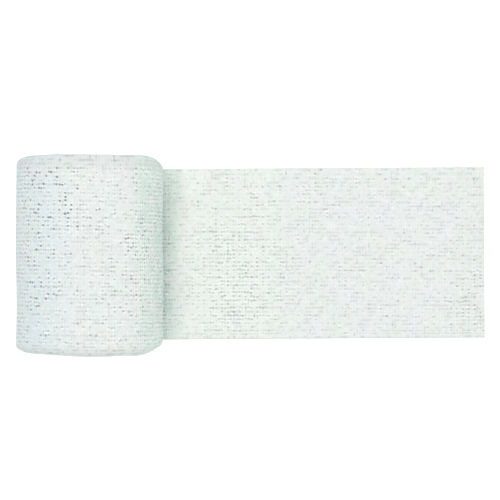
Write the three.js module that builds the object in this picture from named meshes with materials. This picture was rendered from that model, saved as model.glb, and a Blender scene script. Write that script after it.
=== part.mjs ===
// A plaster bandage roll: one strip of plaster-coated gauze wound up, lying on its side,
// with its loose end coming off the bottom and lying flat to the right.
// Millimetres, +Z up. The roll's axis runs along Y and the loose end along +X.
// The origin is on the surface, in the middle of the roll's flat spot, under its axis.
import * as THREE from 'three';

// The strip
const STRIP_WIDTH = 100;
const SHEET = 1.0;               // thickness of the loose end
const GAP = 0.3;                 // between the loose end and the roll above it

// The roll
const RADIUS = 39.25;            // outer turn, where it starts at the bottom
const TURN_PITCH = 1.1;          // how much closer the outer turn is after one full turn
const FLAT_HALF = 6;             // reach of the flat spot to each side of the origin
const UNDERSIDE = SHEET + GAP;   // height of the roll's underside over the loose end
const STEPS_ROUND = 84;          // facets round the roll

// The shoulders, where the cut edges of the turns are thinner and draw in
const SHOULDERS = [
  { end: -1, reach: 6.5, drop: 3.6 },
  { end: 1, reach: 4.2, drop: 3.2 },
];
const SHOULDER_STEPS = [0, 0.08, 0.2, 0.38, 0.6, 0.85];  // shares of the reach, from the end face in
const SHARE_UNDERNEATH = 0.3;    // of the drop that is left where the roll's weight presses it flat
const SHARE_MIDDLE = 0.55;       // of the half width that the evenly spaced middle sections fill
const MIDDLE_SECTIONS = 5;

// The winding is a little uneven: soft swells of the radius along the width and round the roll
const SWELLS = [
  { size: 0.22, alongPeriod: 71, aroundCount: 2, phase: 0.6 },
  { size: 0.14, alongPeriod: 43, aroundCount: 3, phase: 2.1 },
];

// The loose end
const LOOSE_START = FLAT_HALF + 0.7;  // clear of the step where the outer turn leaves the roll
const LOOSE_REACH = 223;         // from the origin to the cut end
const LOOSE_TURN = 0.36;         // degrees that it has drifted round from square
const LOOSE_STEPS_LONG = 44;
const LOOSE_STEPS_WIDE = 10;
const RIPPLES = [                // places where the cloth stands a little clear of the surface
  { at: 58, halfLength: 30, lift: 0.55, across: -14 },
  { at: 104, halfLength: 24, lift: 0.40, across: 22 },
  { at: 157, halfLength: 34, lift: 0.60, across: -8 },
  { at: 214, halfLength: 20, lift: 0.50, across: 40 },
];
const RIPPLE_HALF_WIDTH = 62;

const PLASTER = { color: 0xe9efec, roughness: 0.94, metalness: 0 };

// The axis is low enough for a chord as wide as the flat spot to lie on the surface.
const axisHeight = Math.sqrt(RADIUS ** 2 - FLAT_HALF ** 2);
const flatAngle = Math.asin(FLAT_HALF / RADIUS);

const smooth = (share) => share * share * (3 - 2 * share);

// The places of the sections along the width, closest together on the shoulders.
function sectionPlaces() {
  const half = STRIP_WIDTH / 2;
  const places = [];
  for (let i = 0; i < MIDDLE_SECTIONS; i += 1) {
    places.push(half * SHARE_MIDDLE * (2 * i / (MIDDLE_SECTIONS - 1) - 1));
  }
  for (const { end, reach } of SHOULDERS) {
    for (const share of [...SHOULDER_STEPS, 1]) places.push(end * (half - reach * share));
  }
  return places.sort((a, b) => a - b);
}

// How far the shoulder draws the outer turn in: a quarter ellipse over its reach.
function shoulderDrop(y, angle) {
  const pressed = 0.5 * (1 + Math.cos(angle));
  const share = 1 - (1 - SHARE_UNDERNEATH) * smooth(pressed);
  let drop = 0;
  for (const shoulder of SHOULDERS) {
    const inward = STRIP_WIDTH / 2 - shoulder.end * y;
    const across = Math.min(inward / shoulder.reach, 1);
    drop += shoulder.drop * (1 - Math.sqrt(1 - (1 - across) ** 2));
  }
  return drop * share;
}

function swell(y, angle) {
  let sum = 0;
  for (const { size, alongPeriod, aroundCount, phase } of SWELLS) {
    sum += size * Math.sin(2 * Math.PI * y / alongPeriod + phase) * Math.sin(aroundCount * angle / 2);
  }
  return sum;
}

// One section of the wound outline. The angle is 0 straight down. It runs from the right end of
// the flat spot to the left, up the left side, over the top, down the right side and back to
// the flat spot's right end, one turn pitch further in, where the outline steps down.
function woundSection(y) {
  const points = [];
  for (let i = 0; i <= STEPS_ROUND; i += 1) {
    const angle = 2 * Math.PI * i / STEPS_ROUND - flatAngle;
    const spiral = RADIUS - TURN_PITCH * i / STEPS_ROUND;
    const radius = spiral + swell(y, angle) - shoulderDrop(y, angle);
    const floor = angle < Math.PI ? 0 : UNDERSIDE;
    const z = axisHeight - radius * Math.cos(angle);
    points.push(new THREE.Vector3(-radius * Math.sin(angle), y, Math.max(z, floor)));
  }
  return points;
}

function closedGeometry(vertices, triangles) {
  const geometry = new THREE.BufferGeometry();
  geometry.setAttribute('position', new THREE.Float32BufferAttribute(vertices.flatMap((v) => v.toArray()), 3));
  geometry.setIndex(triangles.flat());
  geometry.computeVertexNormals();
  return geometry;
}

// Joins the closed sections side by side and covers the two ends.
function loft(sections) {
  const count = sections[0].length;
  const triangles = [];
  for (let s = 0; s + 1 < sections.length; s += 1) {
    for (let i = 0; i < count; i += 1) {
      const a = s * count + i;
      const b = s * count + (i + 1) % count;
      triangles.push([a, b, b + count], [a, b + count, a + count]);
    }
  }
  const last = (sections.length - 1) * count;
  const outline = (section) => section.map((v) => new THREE.Vector2(v.x, v.z));
  for (const [a, b, c] of THREE.ShapeUtils.triangulateShape(outline(sections[0]), [])) {
    triangles.push([a, b, c]);
  }
  for (const [a, b, c] of THREE.ShapeUtils.triangulateShape(outline(sections.at(-1)), [])) {
    triangles.push([last + a, last + c, last + b]);
  }
  return closedGeometry(sections.flat(), triangles);
}

// How far the underside of the loose end stands clear of the surface.
function lift(x, y) {
  let sum = 0;
  for (const { at, halfLength, lift: height, across } of RIPPLES) {
    const along = Math.abs(x - at) / halfLength;
    const aside = Math.abs(y - across) / RIPPLE_HALF_WIDTH;
    if (along < 1 && aside < 1) sum += height * smooth(1 - along) * smooth(1 - aside);
  }
  return sum;
}

// A closed sheet of even thickness over a grid of stations.
function looseEndGeometry() {
  const wide = LOOSE_STEPS_WIDE + 1;
  const vertices = [];
  for (const height of [SHEET, 0]) {
    for (let i = 0; i <= LOOSE_STEPS_LONG; i += 1) {
      for (let j = 0; j < wide; j += 1) {
        const x = THREE.MathUtils.lerp(LOOSE_START, LOOSE_REACH, i / LOOSE_STEPS_LONG);
        const y = STRIP_WIDTH * (j / LOOSE_STEPS_WIDE - 0.5);
        vertices.push(new THREE.Vector3(x, y, lift(x, y) + height));
      }
    }
  }
  const under = (LOOSE_STEPS_LONG + 1) * wide;
  const triangles = [];
  const wall = (a, b) => triangles.push([a, a + under, b + under], [a, b + under, b]);
  for (let i = 0; i < LOOSE_STEPS_LONG; i += 1) {
    for (let j = 0; j < LOOSE_STEPS_WIDE; j += 1) {
      const a = i * wide + j;
      const [b, c, d] = [a + wide, a + wide + 1, a + 1];
      triangles.push([a, b, c], [a, c, d]);
      triangles.push([a + under, c + under, b + under], [a + under, d + under, c + under]);
    }
    wall(i * wide, (i + 1) * wide);
    wall((i + 1) * wide + LOOSE_STEPS_WIDE, i * wide + LOOSE_STEPS_WIDE);
  }
  for (let j = 0; j < LOOSE_STEPS_WIDE; j += 1) {
    wall(j + 1, j);
    wall(LOOSE_STEPS_LONG * wide + j, LOOSE_STEPS_LONG * wide + j + 1);
  }
  return closedGeometry(vertices, triangles);
}

function plaster() {
  return new THREE.MeshStandardMaterial(PLASTER);
}

const roll = new THREE.Mesh(loft(sectionPlaces().map(woundSection)), plaster());
roll.name = 'roll';

const looseEnd = new THREE.Mesh(looseEndGeometry(), plaster());
looseEnd.name = 'loose_end';
looseEnd.rotation.z = THREE.MathUtils.degToRad(LOOSE_TURN);

const bandage = new THREE.Group();
bandage.add(roll, looseEnd);

export default bandage;
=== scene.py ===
"""A plaster bandage roll on a white floor: wound gauze with plaster in it, and its loose end laid flat."""

import logging
import math
from dataclasses import dataclass, field
from enum import Enum
from typing import Mapping, Sequence, Union

import bpy
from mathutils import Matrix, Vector


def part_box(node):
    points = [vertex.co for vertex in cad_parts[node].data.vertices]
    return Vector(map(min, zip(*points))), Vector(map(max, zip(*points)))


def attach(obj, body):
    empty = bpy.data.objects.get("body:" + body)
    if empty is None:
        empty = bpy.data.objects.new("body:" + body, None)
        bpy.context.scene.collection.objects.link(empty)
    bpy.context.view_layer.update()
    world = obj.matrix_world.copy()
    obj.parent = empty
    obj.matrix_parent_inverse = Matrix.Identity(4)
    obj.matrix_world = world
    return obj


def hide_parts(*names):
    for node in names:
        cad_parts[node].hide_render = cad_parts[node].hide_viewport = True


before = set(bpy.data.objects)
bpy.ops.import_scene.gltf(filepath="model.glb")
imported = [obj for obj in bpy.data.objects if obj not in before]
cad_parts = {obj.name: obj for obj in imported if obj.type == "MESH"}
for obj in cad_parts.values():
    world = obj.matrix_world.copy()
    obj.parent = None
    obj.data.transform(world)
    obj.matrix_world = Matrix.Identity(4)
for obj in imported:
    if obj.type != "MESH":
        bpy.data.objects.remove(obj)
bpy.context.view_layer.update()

log = logging.getLogger("plaster_bandage")

MM = 0.001
FULL_TURN = 2 * math.pi
# Added to a count before it is divided and rounded down, which could otherwise come out one too low
NUDGE = 0.01

Colour = tuple[float, float, float]
Number = Union["Field", float]
Link = Union["Field", bpy.types.NodeSocket, bpy.types.Material, Sequence[float], float, int, bool, str]


class End(Enum):
    """The two end faces of the roll, as the sign of Y that they face."""

    NEAR = -1
    FAR = 1


class Held(Enum):
    """How a sheet of cloth is held."""

    WOUND = "folded"
    LAID = "laid"


class Draw(Enum):
    """What a random number is drawn for, as its step from the seed of the stretch."""

    FREE = 0
    OPEN = 1
    FAINT = 2
    ALONG = 4
    STRETCH = 6
    ACROSS = 7
    CRUMB = 8


class Tint(Enum):
    """The casts of white that the plaster has, from place to place, with painted shade and painted light
    beside the roll's right side.
    """

    NEUTRAL = (0.735, 0.733, 0.739)
    CLEAN = (0.752, 0.748, 0.748)
    # Painted shade with a green tint: darker colour on the roll's right flank and where the loose end comes
    # out from under it
    PAINTED_SHADE_GREEN = (0.586, 0.697, 0.643)
    # Painted light: a paler colour on the loose end just beyond the roll, lifting the shade that the roll
    # throws there
    PAINTED_LIGHT_PALE = (0.808, 0.820, 0.778)
    YELLOWISH = (0.775, 0.782, 0.744)
    BLUE = (0.691, 0.745, 0.790)
    WARM = (0.730, 0.731, 0.719)
    LILAC = (0.768, 0.748, 0.790)
    OLIVE = (0.745, 0.756, 0.700)
    LEAF = (0.700, 0.762, 0.718)
    PINK = (0.780, 0.742, 0.752)


@dataclass(frozen=True)
class Rise:
    """A smooth rise from 0 to a height, as a number goes from start to stop."""

    start: float
    stop: float
    height: float = 1.0


@dataclass(frozen=True)
class Noise:
    """Smooth noise: its waves in a unit of place, its finer layers and how strong they are."""

    scale: float = 1.0
    detail: float = 1.0
    roughness: float = 0.5


@dataclass(frozen=True)
class Cloud:
    """Noise over a stretch of cloth, drawn out along it or across it.

    The first two numbers say how fast it changes each way. Clouds on other layers differ.
    """

    along: float
    across: float
    layer: float
    noise: Noise = Noise()


class Field:
    """A number that varies over a shape or a surface. Arithmetic on it adds math nodes to its plan."""

    def __init__(self, plan: "Plan", socket: bpy.types.NodeSocket) -> None:
        """Keeps the plan that the number belongs to and the socket that gives it."""
        self.plan = plan
        self.socket = socket

    def __add__(self, other: Number) -> "Field":
        """Adds a number."""
        return self.plan.math("ADD", self, other)

    def __sub__(self, other: Number) -> "Field":
        """Takes a number away."""
        return self.plan.math("SUBTRACT", self, other)

    def __rsub__(self, other: Number) -> "Field":
        """Is taken away from a number."""
        return self.plan.math("SUBTRACT", other, self)

    def __mul__(self, other: Number) -> "Field":
        """Multiplies by a number."""
        return self.plan.math("MULTIPLY", self, other)

    def __truediv__(self, other: Number) -> "Field":
        """Divides by a number."""
        return self.plan.math("DIVIDE", self, other)

    def __abs__(self) -> "Field":
        """Drops the sign."""
        return self.plan.math("ABSOLUTE", self)

    __radd__ = __add__
    __rmul__ = __mul__


class Plan:
    """A node tree under construction, with short forms for the nodes that it uses most."""

    def __init__(self, tree: bpy.types.NodeTree) -> None:
        """Starts on an empty tree."""
        self.tree = tree

    def inlet(self, node: bpy.types.Node, key: Union[str, int]) -> bpy.types.NodeSocket:
        """Finds an input of a node.

        Args:
            node: The node.
            key: The input's index, or its name, which picks the first one in use that has it.

        Returns:
            The input socket.
        """
        if isinstance(key, int):
            return node.inputs[key]
        return next(socket for socket in node.inputs if socket.name == key and socket.enabled)

    def feed(self, socket: bpy.types.NodeSocket, value: Link) -> None:
        """Gives an input its value.

        Args:
            socket: The input.
            value: A field or an output to link to it, or a constant to set on it.
        """
        if isinstance(value, Field):
            value = value.socket
        if isinstance(value, bpy.types.NodeSocket):
            self.tree.links.new(value, socket)
        else:
            socket.default_value = value

    def node(self, kind: str, links: Mapping[Union[str, int], Link], **settings: object) -> bpy.types.Node:
        """Adds a node.

        Args:
            kind: The node's type.
            links: What each of its inputs gets, by name or index.
            **settings: Properties of the node, which are set first.

        Returns:
            The new node.
        """
        made = self.tree.nodes.new(kind)
        for name, value in settings.items():
            setattr(made, name, value)
        for key, value in links.items():
            self.feed(self.inlet(made, key), value)
        return made

    def math(self, operation: str, *numbers: Number, clamp: bool = False) -> Field:
        """Adds a math node.

        Args:
            operation: What it does.
            *numbers: Its one, two or three numbers.
            clamp: Whether the result is kept between 0 and 1.

        Returns:
            The result.
        """
        made = self.node("ShaderNodeMath", dict(enumerate(numbers)), operation=operation, use_clamp=clamp)
        return Field(self, made.outputs[0])

    def whole(self, number: Number) -> Field:
        """Rounds down to a whole number."""
        return self.math("FLOOR", number)

    def sine(self, angle: Number) -> Field:
        """Gives the sine of an angle in radians."""
        return self.math("SINE", angle)

    def cosine(self, angle: Number) -> Field:
        """Gives the cosine of an angle in radians."""
        return self.math("COSINE", angle)

    def least(self, one: Number, other: Number) -> Field:
        """Gives the smaller of two numbers."""
        return self.math("MINIMUM", one, other)

    def most(self, one: Number, other: Number) -> Field:
        """Gives the larger of two numbers."""
        return self.math("MAXIMUM", one, other)

    def below(self, one: Number, other: Number) -> Field:
        """Gives 1 where the first number is smaller than the second, and 0 elsewhere."""
        return self.math("LESS_THAN", one, other)

    def ease(self, share: Number) -> Field:
        """Turns a share, kept between 0 and 1, into a smooth start and stop."""
        kept = self.math("ADD", share, 0.0, clamp=True)
        return kept * kept * (3.0 - 2.0 * kept)

    def ramp(self, number: Number, low: float, high: float) -> Field:
        """Rises smoothly from 0 to 1 as a number goes from low to high."""
        return self.ease((number - low) / (high - low))

    def blend(self, share: Number, start: Number, stop: Number) -> Field:
        """Goes from start to stop as a share goes from 0 to 1."""
        return self.math("MULTIPLY_ADD", share, self.math("SUBTRACT", stop, start), start)

    def place(self, x: Number, y: Number, z: Number) -> bpy.types.NodeSocket:
        """Joins three numbers to a place."""
        return self.node("ShaderNodeCombineXYZ", {"X": x, "Y": y, "Z": z}).outputs[0]

    def rise(self, number: Number, rise: Rise) -> Field:
        """Follows a smooth rise with a number."""
        return self.ramp(number, rise.start, rise.stop) * rise.height

    def noise(self, where: Link, noise: Noise) -> Field:
        """Reads noise at a place, as a number around 0.5, mostly between 0.2 and 0.8."""
        links = {"Vector": where, "Scale": noise.scale, "Detail": noise.detail, "Roughness": noise.roughness}
        return Field(self, self.node("ShaderNodeTexNoise", links, noise_dimensions="3D").outputs[0])

    def cloud(self, cloud: Cloud, x: Number, y: Number, seed: float = 1.0) -> Field:
        """Reads a cloud, which differs from seed to seed, as a number around 0.5."""
        where = self.place(x * cloud.along, y * cloud.across, seed * cloud.layer)
        return self.noise(where, cloud.noise)

    def drift(self, cloud: Cloud, x: Number, y: Number, seed: float = 1.0) -> Field:
        """Reads a cloud, which differs from seed to seed, as a number around 0."""
        return self.cloud(cloud, x, y, seed) - 0.5


class ShapePlan(Plan):
    """A Geometry Nodes tree that makes one piece from named sizes."""

    def __init__(self, name: str) -> None:
        """Starts a tree with one geometry output.

        Args:
            name: The tree's name.
        """
        super().__init__(bpy.data.node_groups.new(name, "GeometryNodeTree"))
        self.tree.interface.new_socket(name="Geometry", in_out="OUTPUT", socket_type="NodeSocketGeometry")
        self.start = self.tree.nodes.new("NodeGroupInput")
        self.values: dict[str, Link] = {}

    def given(self, name: str, kind: str, value: Link) -> bpy.types.NodeSocket:
        """Adds a named input to the tree.

        Args:
            name: The input's name.
            kind: Its socket type.
            value: What the piece sets it to.

        Returns:
            The socket that gives it inside the tree.
        """
        made = self.tree.interface.new_socket(name=name, in_out="INPUT", socket_type=kind)
        self.values[made.identifier] = value
        return self.start.outputs[name]

    def size(self, name: str, value: float) -> Field:
        """Adds a named size in millimetres, or another plain number."""
        return Field(self, self.given(name, "NodeSocketFloat", value))

    def count(self, name: str, value: int) -> Field:
        """Adds a named whole number."""
        return Field(self, self.given(name, "NodeSocketInt", value))

    def index(self) -> Field:
        """Gives the index of the point."""
        return Field(self, self.node("GeometryNodeInputIndex", {}).outputs[0])

    def chance(self, key: Number, seed: Number, low: float = 0.0, high: float = 1.0) -> Field:
        """Gives a random number between low and high, which is the same wherever the key is the same."""
        links = {"Min": low, "Max": high, "ID": key, "Seed": seed}
        return Field(self, self.node("FunctionNodeRandomValue", links, data_type="FLOAT").outputs["Value"])

    def capture(self, geometry: Link, name: str, value: Field) -> tuple[bpy.types.NodeSocket, Field]:
        """Fixes a number on the points of a geometry, before later nodes change them.

        Args:
            geometry: The geometry.
            name: What the number is called in the node.
            value: The number.

        Returns:
            The geometry and the number as fixed on it.
        """
        made = self.node("GeometryNodeCaptureAttribute", {}, domain="POINT")
        made.capture_items.new("FLOAT", name)
        self.feed(made.inputs["Geometry"], geometry)
        self.feed(made.inputs[name], value)
        return made.outputs["Geometry"], Field(self, made.outputs[name])

    def finish(
        self, mesh: Link, placed: Link, stored: Mapping[str, Link], material: bpy.types.Material
    ) -> None:
        """Ends the tree with the points in place, smooth shading, real instances and the material.

        Args:
            mesh: The net of the piece.
            placed: The place of each of its points, in metres.
            stored: Numbers and places that are stored on the points, for the materials to read.
            material: Its finish.
        """
        shape = self.node("GeometryNodeSetPosition", {"Geometry": mesh, "Position": placed}).outputs[0]
        for name, value in stored.items():
            kind = "FLOAT" if isinstance(value, Field) else "FLOAT_VECTOR"
            links = {"Geometry": shape, "Name": name, "Value": value}
            keeper = self.node("GeometryNodeStoreNamedAttribute", links, data_type=kind, domain="POINT")
            shape = keeper.outputs[0]
        smooth = self.node("GeometryNodeSetShadeSmooth", {"Geometry": shape})
        real = self.node("GeometryNodeRealizeInstances", {"Geometry": smooth.outputs[0]})
        finish = self.given("Finish", "NodeSocketMaterial", material)
        dressed = self.node("GeometryNodeSetMaterial", {"Geometry": real.outputs[0], "Material": finish})
        self.node("NodeGroupOutput", {"Geometry": dressed.outputs[0]})

    def make(self, name: str) -> bpy.types.Object:
        """Runs the tree once and keeps its result as a plain mesh.

        Args:
            name: The name of the piece.

        Returns:
            The piece, at the origin, with no modifier.
        """
        maker = bpy.data.objects.new(f"{name}_maker", bpy.data.meshes.new(f"{name}_maker"))
        bpy.context.scene.collection.objects.link(maker)
        modifier = maker.modifiers.new("shape", "NODES")
        modifier.node_group = self.tree
        for identifier, value in self.values.items():
            modifier[identifier] = value
        seen = maker.evaluated_get(bpy.context.evaluated_depsgraph_get())
        mesh = bpy.data.meshes.new_from_object(seen)
        bpy.data.objects.remove(maker)
        mesh.name = name
        piece = bpy.data.objects.new(name, mesh)
        bpy.context.scene.collection.objects.link(piece)
        return piece


@dataclass(frozen=True)
class Shoulder:
    """Where the cut edges of the turns draw in, at one end of the roll. Sizes are in millimetres."""

    end: End
    reach: float
    drop: float
    side_reach: float
    side_drop: float


@dataclass(frozen=True)
class Swell:
    """A soft wave of the radius along the width of the roll, in millimetres, and round it."""

    size: float
    along_period: float
    around_count: int
    phase: float


@dataclass(frozen=True)
class EdgeShift:
    """A place round the roll where the edges at one end stand out, by millimetres, or lie further in.

    The angles are in degrees of the turn, from where the outer turn starts underneath.
    """

    end: End
    at: float
    half_reach: float
    outward: float


@dataclass(frozen=True)
class Ripple:
    """A place where the loose end stands a little clear of the floor. Sizes are in millimetres."""

    at: float
    half_length: float
    lift: float
    across: float


@dataclass(frozen=True)
class Slip:
    """A stretch along the strip over which the rows drift sideways. Sizes are in millimetres."""

    start: float
    stop: float
    aside: float


@dataclass(frozen=True)
class Patch:
    """A place where plaster has left more of the openings free, or fewer where the gain is below 0.

    Where it is crowded, every opening shows a little and none is wide.
    """

    along: float
    across: float
    half_along: float
    half_across: float
    gain: float
    crowd: float = 0.0


@dataclass(frozen=True)
class Strip:
    """The strip of cloth that everything is made of. Sizes are in millimetres."""

    width: float
    thickness: float = 0.86


@dataclass(frozen=True)
class Winding:
    """The spiral that the strip is wound on, as in the frame. Sizes are in millimetres."""

    width: float
    radius: float = 39.25
    pitch: float = 1.1
    flat_half: float = 6.0
    clearance: float = 0.2
    centre_radius: float = 2.1
    share_underneath: float = 0.3
    side_angle: float = 285.0
    side_half: float = 30.0
    shoulders: tuple[Shoulder, ...] = (
        Shoulder(End.NEAR, 6.5, 3.6, 11.5, 5.8),
        Shoulder(End.FAR, 4.2, 3.2, 12.0, 4.1),
    )
    swells: tuple[Swell, ...] = (Swell(0.22, 71, 2, 0.6), Swell(0.14, 43, 3, 2.1))
    edge_reach: float = 14.0
    edge_shifts: tuple[EdgeShift, ...] = (
        EdgeShift(End.FAR, 139.0, 36.0, 0.60),
        EdgeShift(End.FAR, 171.0, 11.0, 0.40),
        EdgeShift(End.FAR, 215.0, 12.0, 0.30),
        EdgeShift(End.FAR, 247.0, 34.0, 1.50),
        EdgeShift(End.NEAR, 165.0, 54.0, -0.97),
        EdgeShift(End.NEAR, 246.0, 24.0, 1.00),
        EdgeShift(End.NEAR, 284.0, 22.0, -0.90),
    )

    @property
    def axis_height(self) -> float:
        """The height of the roll's axis, low enough for the flat spot to lie on the floor."""
        return math.sqrt(self.radius**2 - self.flat_half**2)

    @property
    def flat_angle(self) -> float:
        """Half the angle that the flat spot takes up."""
        return math.asin(self.flat_half / self.radius)

    @property
    def last_turned(self) -> float:
        """How far the strip has turned, in radians, where it ends at the centre."""
        return FULL_TURN * (self.radius - self.centre_radius) / self.pitch

    def length(self, start: float, stop: float) -> float:
        """Gives the length of strip, in millimetres, between two amounts of turning in radians."""
        per_radian = self.pitch / FULL_TURN
        return self.radius * (stop - start) - per_radian * (stop**2 - start**2) / 2

    def drop(self, plan: Plan, y: Field, angle: Field) -> Field:
        """Works out how far the shoulders draw the outer turn in: a quarter ellipse over each reach.

        They reach further on the side where the loose end leaves.

        Args:
            plan: The tree that the nodes go in.
            y: The place along the roll's axis, in millimetres.
            angle: The angle round the roll, from its lowest line.

        Returns:
            How far it is drawn in, in millimetres.
        """
        pressed = plan.ease(0.5 + 0.5 * plan.cosine(angle))
        away = abs(angle - (math.radians(self.side_angle) - self.flat_angle))
        side = plan.ease(1.0 - away / math.radians(self.side_half))
        total = 0.0
        for shoulder in self.shoulders:
            inward = self.width / 2 - shoulder.end.value * y
            reach = plan.blend(side, shoulder.reach, shoulder.side_reach)
            missing = 1.0 - plan.least(inward / reach, 1.0)
            kept = plan.math("SQRT", plan.most(1.0 - missing * missing, 0.0))
            total = (1.0 - kept) * plan.blend(side, shoulder.drop, shoulder.side_drop) + total
        return total * (1.0 - (1.0 - self.share_underneath) * pressed)

    def swell(self, plan: Plan, y: Field, angle: Field) -> Field:
        """Works out how far the winding stands proud of its even spiral.

        Args:
            plan: The tree that the nodes go in.
            y: The place along the roll's axis, in millimetres.
            angle: The angle round the roll, from its lowest line.

        Returns:
            How far it stands proud, in millimetres.
        """
        total = 0.0
        for swell in self.swells:
            along = plan.sine(y * (FULL_TURN / swell.along_period) + swell.phase)
            total = along * plan.sine(angle * (swell.around_count / 2)) * swell.size + total
        return total

    def edge_shift(self, plan: Plan, y: Field, angle: Field) -> Field:
        """Works out how far a point near one of the strip's edges lies aside, where the edge is uneven.

        Args:
            plan: The tree that the nodes go in.
            y: The place along the roll's axis, in millimetres.
            angle: The angle round the roll, from its lowest line.

        Returns:
            How far it lies aside along the axis, in millimetres.
        """
        total = 0.0
        for shift in self.edge_shifts:
            inward = self.width / 2 - shift.end.value * y
            near = plan.ease(1.0 - inward / self.edge_reach)
            away = abs(angle - (math.radians(shift.at) - self.flat_angle))
            round_it = plan.ease(1.0 - away / math.radians(shift.half_reach))
            total = near * round_it * (shift.outward * shift.end.value) + total
        return total

    def lay(self, plan: Plan, turned: Field, y: Field, aside: Number, depth: Field) -> bpy.types.NodeSocket:
        """Finds the place of a point of the strip once it is wound.

        Args:
            plan: The tree that the nodes go in.
            turned: How far the strip has turned there, in radians from where the outer turn starts.
            y: The point's even place along the roll's axis, which settles how far it is drawn in.
            aside: How far it lies aside of that place.
            depth: How far it is inside the strip's outer face.

        Returns:
            The place, in metres.
        """
        angle = plan.math("FLOORED_MODULO", turned, FULL_TURN) - self.flat_angle
        advance = turned * (self.pitch / FULL_TURN)
        share = (self.radius - advance) / self.radius
        drawn = self.drop(plan, y, angle) * share * share
        radius = self.radius - advance + self.swell(plan, y, angle) * share - drawn - depth
        lowest = advance - (1.0 - share) * (self.radius - self.axis_height) + depth
        lowest = lowest + plan.ramp(turned, math.pi, FULL_TURN) * share * self.clearance
        height = plan.most(self.axis_height - radius * plan.cosine(angle), lowest)
        along = y + aside + self.edge_shift(plan, y, angle) * share
        return plan.place(radius * plan.sine(angle) * -MM, along * MM, height * MM)


@dataclass(frozen=True)
class Laying:
    """The floor path of the loose end, as in the frame. Sizes are in millimetres."""

    start: float
    turn: float = math.radians(0.36)
    ripple_half_width: float = 62.0
    ripples: tuple[Ripple, ...] = (
        Ripple(58, 30, 0.55, -14),
        Ripple(104, 24, 0.40, 22),
        Ripple(157, 34, 0.60, -8),
        Ripple(214, 20, 0.50, 40),
    )

    def lift(self, plan: Plan, x: Field, y: Field) -> Field:
        """Works out how far the underside stands clear of the floor.

        Args:
            plan: The tree that the nodes go in.
            x: The place along the strip, in millimetres.
            y: The place across it.

        Returns:
            The height of the underside, in millimetres.
        """
        total = 0.0
        for ripple in self.ripples:
            along = plan.ease(1.0 - abs(x - ripple.at) / ripple.half_length)
            aside = plan.ease(1.0 - abs(y - ripple.across) / self.ripple_half_width)
            total = along * aside * ripple.lift + total
        return total

    def lay(self, plan: Plan, x: Field, y: Field, height: Field) -> bpy.types.NodeSocket:
        """Finds the place of a point of the loose end.

        Args:
            plan: The tree that the nodes go in.
            x: The place along the strip, in millimetres.
            y: The place across it.
            height: How far the point is above the underside.

        Returns:
            The place, in metres.
        """
        level = self.lift(plan, x, y) + height
        cosine, sine = math.cos(self.turn), math.sin(self.turn)
        return plan.place((x * cosine - y * sine) * MM, (x * sine + y * cosine) * MM, level * MM)


@dataclass(frozen=True)
class Freedom:
    """How many of the gauze's openings are free of plaster, and where.

    The amounts are shares of the cells. The edge is in millimetres.
    """

    share: float
    gain: float
    run_gain: float
    clump_gain: float
    row_less: float
    least: float = 0.06
    drift_gain: float = 0.9
    stack_gain: float = 0.3
    crowd_gain: float = 0.3
    pair_less: float = 0.30
    pair_less_crowded: float = 0.5
    filled_edge: float = 1.5
    edge_range: tuple[float, float] = (0.4, 1.6)
    patch_slope: float = 0.6
    drift: Cloud = Cloud(1.0, 1.0, 7.0, Noise(0.055, 2.0))
    run: Cloud = Cloud(0.14, 7.7, 5.0)
    stack: Cloud = Cloud(5.3, 0.20, 9.0)
    clump: Cloud = Cloud(0.21, 0.25, 13.0)
    patches: tuple[Patch, ...] = ()


@dataclass(frozen=True)
class Openness:
    """How open the free openings are, where few of them and where many are free, from 0 to 1.

    A few of the others show faintly.
    """

    few: float
    many: float
    wide_extra: float
    least: float = 0.25
    spread: float = 0.80
    wide_above: float = 0.78
    wide_where: Rise = Rise(0.45, 0.95)
    crowd_gain: float = 0.10
    faint: float = 0.32
    faint_where: Rise = Rise(-0.1, 0.25)
    faint_pair_less: float = 0.7


@dataclass(frozen=True)
class Relief:
    """How deep and high the outer face is, in millimetres, and where its grooves, its crumbs and its painted
    shadow lines are.

    The skin is the plaster over the threads, a ring is the rim of an opening, and a streak is plaster
    along a thread.
    """

    skin: float = 0.08
    skin_wave: float = 0.12
    opening_depth: float = 0.62
    groove_depth: float = 0.08
    thread_rise: float = 0.05
    ring_rise: float = 0.05
    crumb_rise: float = 0.10
    rim_share: float = 0.10
    groove_rim_share: float = 0.75
    groove_shade: float = 1.0
    groove_less: float = 0.2
    crumb_share: float = 0.22
    crumb_plaster: float = 0.40
    ring_plaster: float = 0.6
    streak_plaster: float = 0.3
    # Painted shadow: lines across the strip, darkened like a groove and barely sunk, where it comes out from
    # under the roll
    painted_shadow_lines: tuple[float, ...] = ()
    painted_shadow_line: Rise = Rise(1.4, 0.3, 0.3)
    skin_cloud: Cloud = Cloud(1.0, 1.0, 3.0, Noise(0.45, 3.0, 0.6))
    dashes: Cloud = Cloud(0.19, 5.3, 3.0)
    lines: Cloud = Cloud(4.1, 0.24, 11.0)
    dash_groove: Rise = Rise(0.53, 0.57)
    line_groove: Rise = Rise(0.63, 0.67)
    dash_streak: Rise = Rise(0.36, 0.32)
    line_streak: Rise = Rise(0.37, 0.33)


@dataclass(frozen=True)
class Sway:
    """How far the threads lie aside of their even places. Sizes are in millimetres."""

    along: float = 0.9
    along_cloud: Cloud = Cloud(0.06, 0.25, 1.0)
    across: float = 1.1
    across_cloud: Cloud = Cloud(0.045, 0.16, 9.0)
    jitter: float = 0.06
    jitter_up: float = 0.10
    size_up: float = 0.12
    even_edge: float = 4.0
    even_end: float = 6.0
    bow: float = 0.0
    bow_centre: float = 0.531
    bow_limit: float = 0.07
    bow_fade: float = 6.0
    slip_fade: float = 9.0
    slips: tuple[Slip, ...] = ()


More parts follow.
